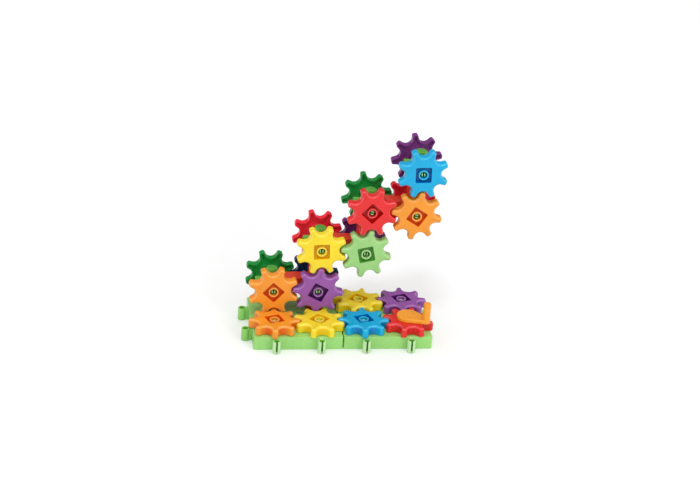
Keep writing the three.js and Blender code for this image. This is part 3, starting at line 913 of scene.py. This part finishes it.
def crank_mesh(crank, gear_turn):
    """The crank: a square plug, a tapering arm and an upright handle.

    The plug is turned with the recess of the gear below it.
    """
    soft = 0.4 * MM
    flank = math.degrees(math.acos((crank.hub_radius - crank.tip_radius) / crank.reach))
    arm = arc((0, 0), crank.hub_radius, flank, 360 - flank, 40)
    arm += arc((crank.reach, 0), crank.tip_radius, -flank, flank, 20)
    mesh, _ = solid(softened_wall(arm, crank.low, crank.high, soft, crank.edge, 5))
    add_part(mesh, handle_mesh(crank), Matrix())
    mesh.transform(Matrix.Rotation(crank.turn, 4, "Z"))
    plug_turn = gear_turn + SQUARE_CORNER - math.pi / 4
    add_part(mesh, plug_mesh(crank, soft), Matrix.Rotation(plug_turn, 4, "Z"))
    return mesh


# Finish


def linear(colour):
    """A screen colour as the renderer's own values."""
    return (*Color(colour).from_srgb_to_scene_linear(), 1.0)


def paler(colour, amount):
    """A colour moved towards white."""
    return [value + (1 - value) * amount for value in colour]


def set_inputs(tree, node, inputs):
    """Sets inputs of a node, each to a value or to what a socket gives."""
    for name, value in inputs.items():
        if isinstance(value, bpy.types.NodeSocket):
            tree.links.new(value, node.inputs[name])
        else:
            node.inputs[name].default_value = value


def add_node(tree, kind, inputs, **attributes):
    """Adds a node with some of its inputs and attributes set, and gives its outputs."""
    node = tree.nodes.new(kind)
    for name, value in attributes.items():
        setattr(node, name, value)
    set_inputs(tree, node, inputs)
    return node.outputs


def ranged(tree, value, span, result=(0, 1)):
    """Brings a value from one range to another."""
    names = ("Value", "From Min", "From Max", "To Min", "To Max")
    inputs = dict(zip(names, (value, *span, *result)))
    return add_node(tree, "ShaderNodeMapRange", inputs)["Result"]


def moulded_plastic(slot, colours, finish):
    """Glossy moulded plastic with uneven flow, light scuffs and the mould's fine grain."""
    name = f"plastic_{slot}"
    if name in bpy.data.materials:
        return bpy.data.materials[name]
    material = bpy.data.materials.new(name)
    material.use_nodes = True
    tree = material.node_tree
    place = add_node(tree, "ShaderNodeTexCoord", {})["Object"]
    tones = add_node(tree, "ShaderNodeAttribute", {}, attribute_name=TONE)["Fac"]

    def noise(scale, detail, roughness):
        inputs = {"Vector": place, "Scale": scale, "Detail": detail, "Roughness": roughness}
        return add_node(tree, "ShaderNodeTexNoise", inputs)["Fac"]

    def mixed(share, first, second):
        inputs = {"Factor": share, MIX_COLOURS[0]: first, MIX_COLOURS[1]: second}
        return add_node(tree, "ShaderNodeMix", inputs, data_type="RGBA")[MIX_RESULT]

    # Uneven flow and rubbing change the colour; each point's tone then mixes in painted shade, a deeper and dimmer
    # colour, or a painted highlight, a paler one
    written = getattr(colours, slot)
    deep = linear([value * (1 - finish.mottle) for value in written])
    pale = linear(paler(written, finish.mottle))
    painted_shade = linear([value ** finish.deepening * finish.dimming for value in written])
    thin = linear(paler(written, finish.paling))
    flow = mixed(ranged(tree, noise(*FLOW[0]), FLOW[1]), deep, linear(written))
    rubbing = ranged(tree, noise(*RUBBING[0]), RUBBING[1], (0, MOST_RUBBED))
    with_painted_shade = mixed(ranged(tree, tones, (0, 1)), mixed(rubbing, flow, pale), painted_shade)

    normal = {}
    for kind, height in UNEVENNESS:
        inputs = {"Strength": finish.grain, "Distance": height, "Height": noise(*kind), **normal}
        normal = {"Normal": add_node(tree, "ShaderNodeBump", inputs)["Normal"]}

    dulled = (finish.roughness, finish.roughness + finish.scuffing)
    set_inputs(tree, tree.nodes["Principled BSDF"], {
        "Base Color": mixed(ranged(tree, tones, (0, -1)), with_painted_shade, thin),
        "Roughness": ranged(tree, noise(*SCUFFS[0]), SCUFFS[1], dulled),
        "IOR": finish.refraction,
        "Specular IOR Level": finish.gloss,
        **normal,
    })
    return material


# Making pieces


def settings(context):
    """The toy's settings, by the last word of their names."""
    return {name.split("_")[-1]: getattr(context.scene, name) for name in GROUPS}


def add_piece(context, node, mesh, placement):
    """Puts a finished piece in place of a solid, with its plastic and on its body.

    The turn goes into the mesh, so that the piece's box is no larger than the piece.
    """
    mesh.transform(placement.to_3x3().to_4x4())
    bmesh.ops.recalc_face_normals(mesh, faces=mesh.faces)
    data = bpy.data.meshes.new(f"{node}_moulding")
    mesh.to_mesh(data)
    mesh.free()
    data.shade_smooth()
    data.set_sharp_from_angle(angle=SHARP_TURN)
    piece = bpy.data.objects.new(f"{node}_moulding", data)
    piece.location = placement.translation
    context.scene.collection.objects.link(piece)
    shading = piece.modifiers.new("Even shading", "WEIGHTED_NORMAL")
    shading.keep_sharp = True
    slot = slot_of(node)
    chosen = settings(context)
    data.materials.append(moulded_plastic(slot, chosen["colours"], chosen["finish"]))
    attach(piece, body_of(node))
    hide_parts(node)


def add_pieces(context, words, mesh_for, placement_for):
    """Makes a piece for each node with some words in its name."""
    for node in nodes_with(words):
        add_piece(context, node, mesh_for(node), placement_for(node))


class GEARTOY_OT_plates(bpy.types.Operator):
    """Make the two base plates."""

    bl_idname = "geartoy.plates"
    bl_label = "Base plates"

    def execute(self, context):
        chosen = settings(context)
        plate, post = chosen["plate"], chosen["post"]
        add_pieces(context, "_base_plate", lambda _: plate_mesh(plate, post), plate_placement)
        return {"FINISHED"}


class GEARTOY_OT_axles(bpy.types.Operator):
    """Make the seven six-way axles."""

    bl_idname = "geartoy.axles"
    bl_label = "Six-way axles"

    def execute(self, context):
        chosen = settings(context)
        tower, post = chosen["tower"], chosen["post"]

        def mesh_for(node):
            return axle_mesh(tower, post, node.endswith(LEVEL_SLOTS))

        add_pieces(context, "six_way_axle_", mesh_for, axle_placement)
        return {"FINISHED"}


class GEARTOY_OT_pillars(bpy.types.Operator):
    """Make the eight square pillars."""

    bl_idname = "geartoy.pillars"
    bl_label = "Square pillars"

    def execute(self, context):
        tower = settings(context)["tower"]
        add_pieces(context, "pillar", lambda _: pillar_mesh(tower), pillar_placement)
        return {"FINISHED"}


class GEARTOY_OT_gears(bpy.types.Operator):
    """Make the flat gears, the front gears and the back gears."""

    bl_idname = "geartoy.gears"
    bl_label = "Gears"

    def execute(self, context):
        gear = settings(context)["gear"]

        def mesh_for(node):
            # Painted shade goes into the valleys of the flat gears only; light from above reaches the valleys of
            # the upright gears
            return gear_mesh(gear, gear.valley_tone if node.startswith("flat") else 0)

        for row in ("flat_gear_", "front_gear_", "back_gear_"):
            add_pieces(context, row, mesh_for, gear_placement)
        return {"FINISHED"}


class GEARTOY_OT_crank(bpy.types.Operator):
    """Make the hand crank, in the recess of the gear that it turns."""

    bl_idname = "geartoy.crank"
    bl_label = "Hand crank"

    def execute(self, context):
        gear = gear_placement("flat_gear_red")
        tooth = gear.to_3x3() @ Vector((1, 0, 0))
        mesh = crank_mesh(settings(context)["crank"], math.atan2(tooth.y, tooth.x))
        add_piece(context, "hand_crank", mesh, Matrix.Translation(gear.translation))
        return {"FINISHED"}


# Stage


def white_ground(studio):
    """White card that shows as plain white, and keeps the toy's shadow."""
    material = bpy.data.materials.new("white_ground")
    material.use_nodes = True
    tree = material.node_tree
    seen = add_node(tree, "ShaderNodeLightPath", {})["Is Camera Ray"]
    inputs = {0: seen, 1: studio.ground_lift}
    lift = add_node(tree, "ShaderNodeMath", inputs, operation="MULTIPLY")["Value"]
    set_inputs(tree, tree.nodes["Principled BSDF"], {
        "Base Color": (*[studio.ground_white] * 3, 1),
        "Roughness": studio.ground_roughness,
        "Specular IOR Level": studio.ground_gloss,
        "Emission Color": (1, 1, 1, 1),
        "Emission Strength": lift,
    })
    return material


def add_world(scene, studio):
    """A surround that is white for the camera, and a plain light for all else."""
    world = bpy.data.worlds.new("white_surround")
    scene.world = world
    world.use_nodes = True
    tree = world.node_tree
    path = add_node(tree, "ShaderNodeLightPath", {})
    unseen = ranged(tree, path["Is Glossy Ray"], (0, 1), (studio.surround, studio.reflected))
    strength = ranged(tree, path["Is Camera Ray"], (0, 1), (unseen, 1))
    set_inputs(tree, tree.nodes["Background"], {"Color": (1, 1, 1, 1), "Strength": strength})


def add_ground(scene, studio):
    """A square white card that the toy stands on."""
    mesh = bmesh.new()
    bmesh.ops.create_grid(mesh, x_segments=1, y_segments=1, size=GROUND_HALF)
    data = bpy.data.meshes.new("ground")
    mesh.to_mesh(data)
    mesh.free()
    data.materials.append(white_ground(studio))
    card = bpy.data.objects.new("ground", data)
    card.location.z = -GROUND_DROP
    scene.collection.objects.link(card)


def add_softbox(scene, name, place, size, power):
    """A square soft lamp at a place, which points to the toy."""
    lamp = bpy.data.lights.new(name, "AREA")
    lamp.shape = "SQUARE"
    lamp.size = size
    lamp.energy = power
    holder = bpy.data.objects.new(name, lamp)
    holder.rotation_euler = (LAMP_TARGET - Vector(place)).to_track_quat("-Z", "Y").to_euler()
    holder.location = place
    scene.collection.objects.link(holder)


def add_camera(scene, studio):
    """The camera, turned by its yaw, its pitch and its roll."""
    yaw = Matrix.Rotation(-studio.camera_yaw, 4, "Z")
    pitch = Matrix.Rotation(math.pi / 2 - studio.camera_pitch, 4, "X")
    roll = Matrix.Rotation(studio.camera_roll, 4, "Z")
    lens = bpy.data.cameras.new("photo_camera")
    lens.lens = studio.camera_lens
    lens.clip_end = VIEW_DEPTH
    camera = bpy.data.objects.new("photo_camera", lens)
    place = ground_between("yellow", "blue") + Vector(studio.camera_place)
    camera.matrix_world = Matrix.Translation(place) @ yaw @ pitch @ roll
    scene.collection.objects.link(camera)
    scene.camera = camera


class GEARTOY_OT_stage(bpy.types.Operator):
    """Make the camera, the lamps and the white ground."""

    bl_idname = "geartoy.stage"
    bl_label = "Studio"

    def execute(self, context):
        scene = context.scene
        studio = settings(context)["studio"]
        scene.view_settings.view_transform = "Standard"
        add_camera(scene, studio)
        add_world(scene, studio)
        add_ground(scene, studio)
        for name, row in LAMPS.items():
            add_softbox(scene, name, *row)
        return {"FINISHED"}


STEPS = (
    GEARTOY_OT_stage, GEARTOY_OT_plates, GEARTOY_OT_axles, GEARTOY_OT_pillars,
    GEARTOY_OT_gears, GEARTOY_OT_crank,
)


class GEARTOY_PT_panel(bpy.types.Panel):
    """Lists the steps that build the toy, and its settings."""

    bl_idname = "GEARTOY_PT_panel"
    bl_label = "Gear Toy"
    bl_space_type = "VIEW_3D"
    bl_region_type = "UI"
    bl_category = "Gear Toy"

    def draw(self, context):
        layout = self.layout
        for step in STEPS:
            layout.operator(step.bl_idname)
        for name, group in GROUPS.items():
            box = layout.box()
            box.label(text=group.__name__)
            for setting in group.__annotations__:
                box.prop(getattr(context.scene, name), setting)


CLASSES = (*GROUPS.values(), *STEPS, GEARTOY_PT_panel)


def register():
    """Registers the settings, the steps and the panel."""
    for item in CLASSES:
        bpy.utils.register_class(item)
    for name, group in GROUPS.items():
        setattr(bpy.types.Scene, name, bpy.props.PointerProperty(type=group))


def unregister():
    """Removes what register added."""
    for name in GROUPS:
        delattr(bpy.types.Scene, name)
    for item in reversed(CLASSES):
        bpy.utils.unregister_class(item)


def main():
    """Builds the toy in order."""
    register()
    for step in STEPS:
        area, name = step.bl_idname.split(".")
        if getattr(getattr(bpy.ops, area), name)() != {"FINISHED"}:
            raise RuntimeError(f"{step.bl_label} did not finish")


if __name__ == "__main__":
    main()
